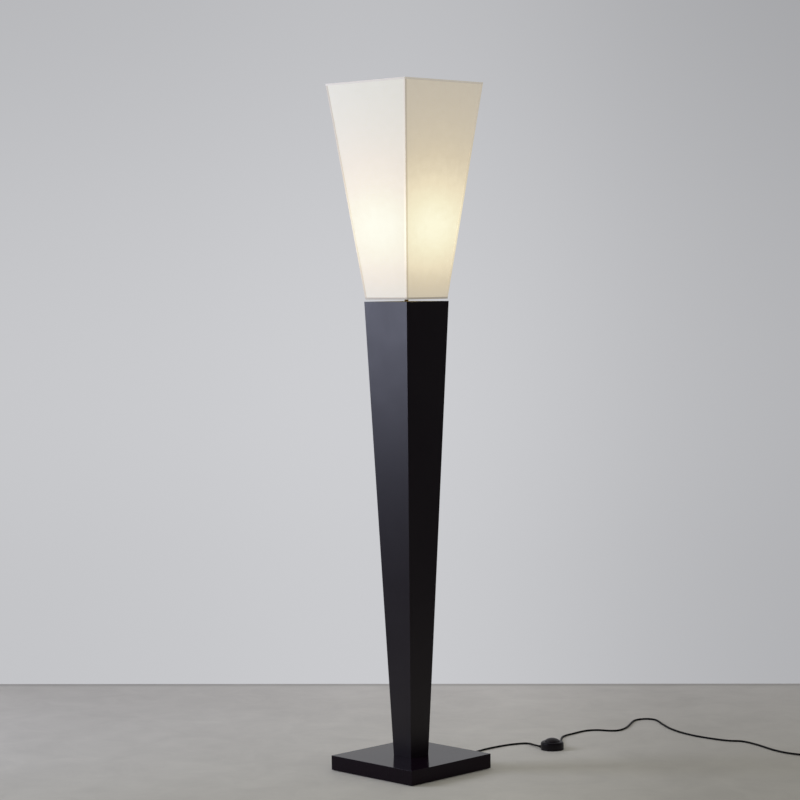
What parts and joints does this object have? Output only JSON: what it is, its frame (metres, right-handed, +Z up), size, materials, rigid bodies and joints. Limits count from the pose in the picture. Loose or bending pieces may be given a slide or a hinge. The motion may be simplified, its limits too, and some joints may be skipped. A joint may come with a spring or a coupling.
{
  "type": "floor lamp",
  "caption": "Floor lamp with a square base, a square column that widens upwards, a tapered square paper shade lit from inside, and a foot switch on its flex.",
  "frame": {"origin": "on the floor, under the middle of the base", "axes": "+Z up; -Y is the front; +Y is the back, where the flex leaves the base"},
  "size_m": [0.8341, 1.0903, 1.72],
  "materials": {
    "black_lacquer": "black lacquer, satin to semi-gloss",
    "plain_board": "plain board, unfinished",
    "ballast_steel": "mill finish with a thin coat of oil",
    "zinc_steel": "zinc plated",
    "floor_pad": "matt soft pad",
    "stem_brass": "dull brass, slightly tarnished",
    "shade_paper": "white fibrous paper on a translucent sheet",
    "frame_white": "white powder coat",
    "holder_plastic": "white thermoset plastic",
    "holder_ceramic": "white porcelain",
    "nickel_brass": "nickel plated brass",
    "contact_brass": "bright brass",
    "bulb_glass": "opal glass",
    "bulb_metal": "drawn aluminium",
    "bulb_insulator": "dark vitrified insulator",
    "flex_black": "black flexible sheath, slight sheen",
    "core_copper": "sleeved copper cores",
    "switch_black": "black moulded plastic, semi-gloss",
    "spring_steel": "bare spring wire",
    "plug_black": "black moulded plastic",
    "tie_black": "thin plastic band"
  },
  "bodies": {
    "lamp": {"base_plate": "black_lacquer", "ballast_plate": "ballast_steel", "ballast_screws": "zinc_steel", "base_cover": "plain_board", "floor_pads": "floor_pad", "wood_screws": "zinc_steel", "foot_screws": "zinc_steel", "flex_bush": "flex_black", "lead_saddle": "switch_black", "column_front": "black_lacquer", "column_right": "black_lacquer", "column_back": "black_lacquer", "column_left": "black_lacquer", "foot_block": "plain_board", "guide_board": "plain_board", "top_board": "black_lacquer", "stem_pipe": "stem_brass", "stem_washers": "stem_brass", "stem_nuts": "stem_brass", "holder_cap": "holder_plastic", "locking_screw": "zinc_steel", "holder_shell": "holder_plastic", "holder_insert": "holder_ceramic", "screw_shell": "nickel_brass", "centre_contact": "contact_brass", "terminal_screws": "contact_brass", "inner_lead": "flex_black", "core_wires": "core_copper", "switch_lower": "switch_black", "switch_upper": "switch_black", "switch_mechanism": "plug_black", "switch_terminals": "contact_brass", "switch_grips": "plug_black", "switch_screws": "zinc_steel", "switch_bushes": "flex_black", "flex_to_switch": "flex_black", "flex_to_coil": "flex_black", "flex_coil": "flex_black", "coil_tie": "tie_black", "flex_tail": "flex_black", "plug_body": "plug_black", "plug_pins": "nickel_brass"},
    "button": {"switch_button": "switch_black", "switch_spring": "spring_steel"},
    "shade": {"carrier_hub": "frame_white", "carrier_arms": "frame_white", "lower_ring": "frame_white", "upper_ring": "frame_white", "corner_struts": "frame_white", "shade_panel_front": "shade_paper", "shade_panel_right": "shade_paper", "shade_panel_back": "shade_paper", "shade_panel_left": "shade_paper", "lower_hem": "shade_paper", "upper_hem": "shade_paper", "corner_tapes": "shade_paper"},
    "bulb_tip": {"bulb_tip": "contact_brass"},
    "bulb": {"bulb_glass": "bulb_glass", "bulb_cap": "bulb_metal", "bulb_collar": "bulb_insulator"}
  },
  "joints": [
    {"name": "switch_press", "type": "slide", "parent": "lamp", "child": "button", "axis": [0, 0, -1], "range_m": [0, 0.003], "stiffness_N_per_m": 2000, "springref_m": -0.002, "deforming": ["switch_spring"]},
    {"name": "shade_turn", "type": "hinge", "parent": "lamp", "child": "shade", "pos_m": [0, 0, 1.1998], "axis": [0, 0, 1], "continuous": true},
    {"name": "bulb_rise", "type": "slide", "parent": "lamp", "child": "bulb_tip", "axis": [0, 0, 1], "range_m": [0, 0.0146]},
    {"name": "bulb_turn", "type": "hinge", "parent": "bulb_tip", "child": "bulb", "pos_m": [0, 0, 1.31], "axis": [0, 0, 1], "range_deg": [0, 1440]}
  ],
  "couplings": [
    {"joint": "bulb_rise", "follows": "bulb_turn", "m_per_rad": 0.00057757}
  ]
}
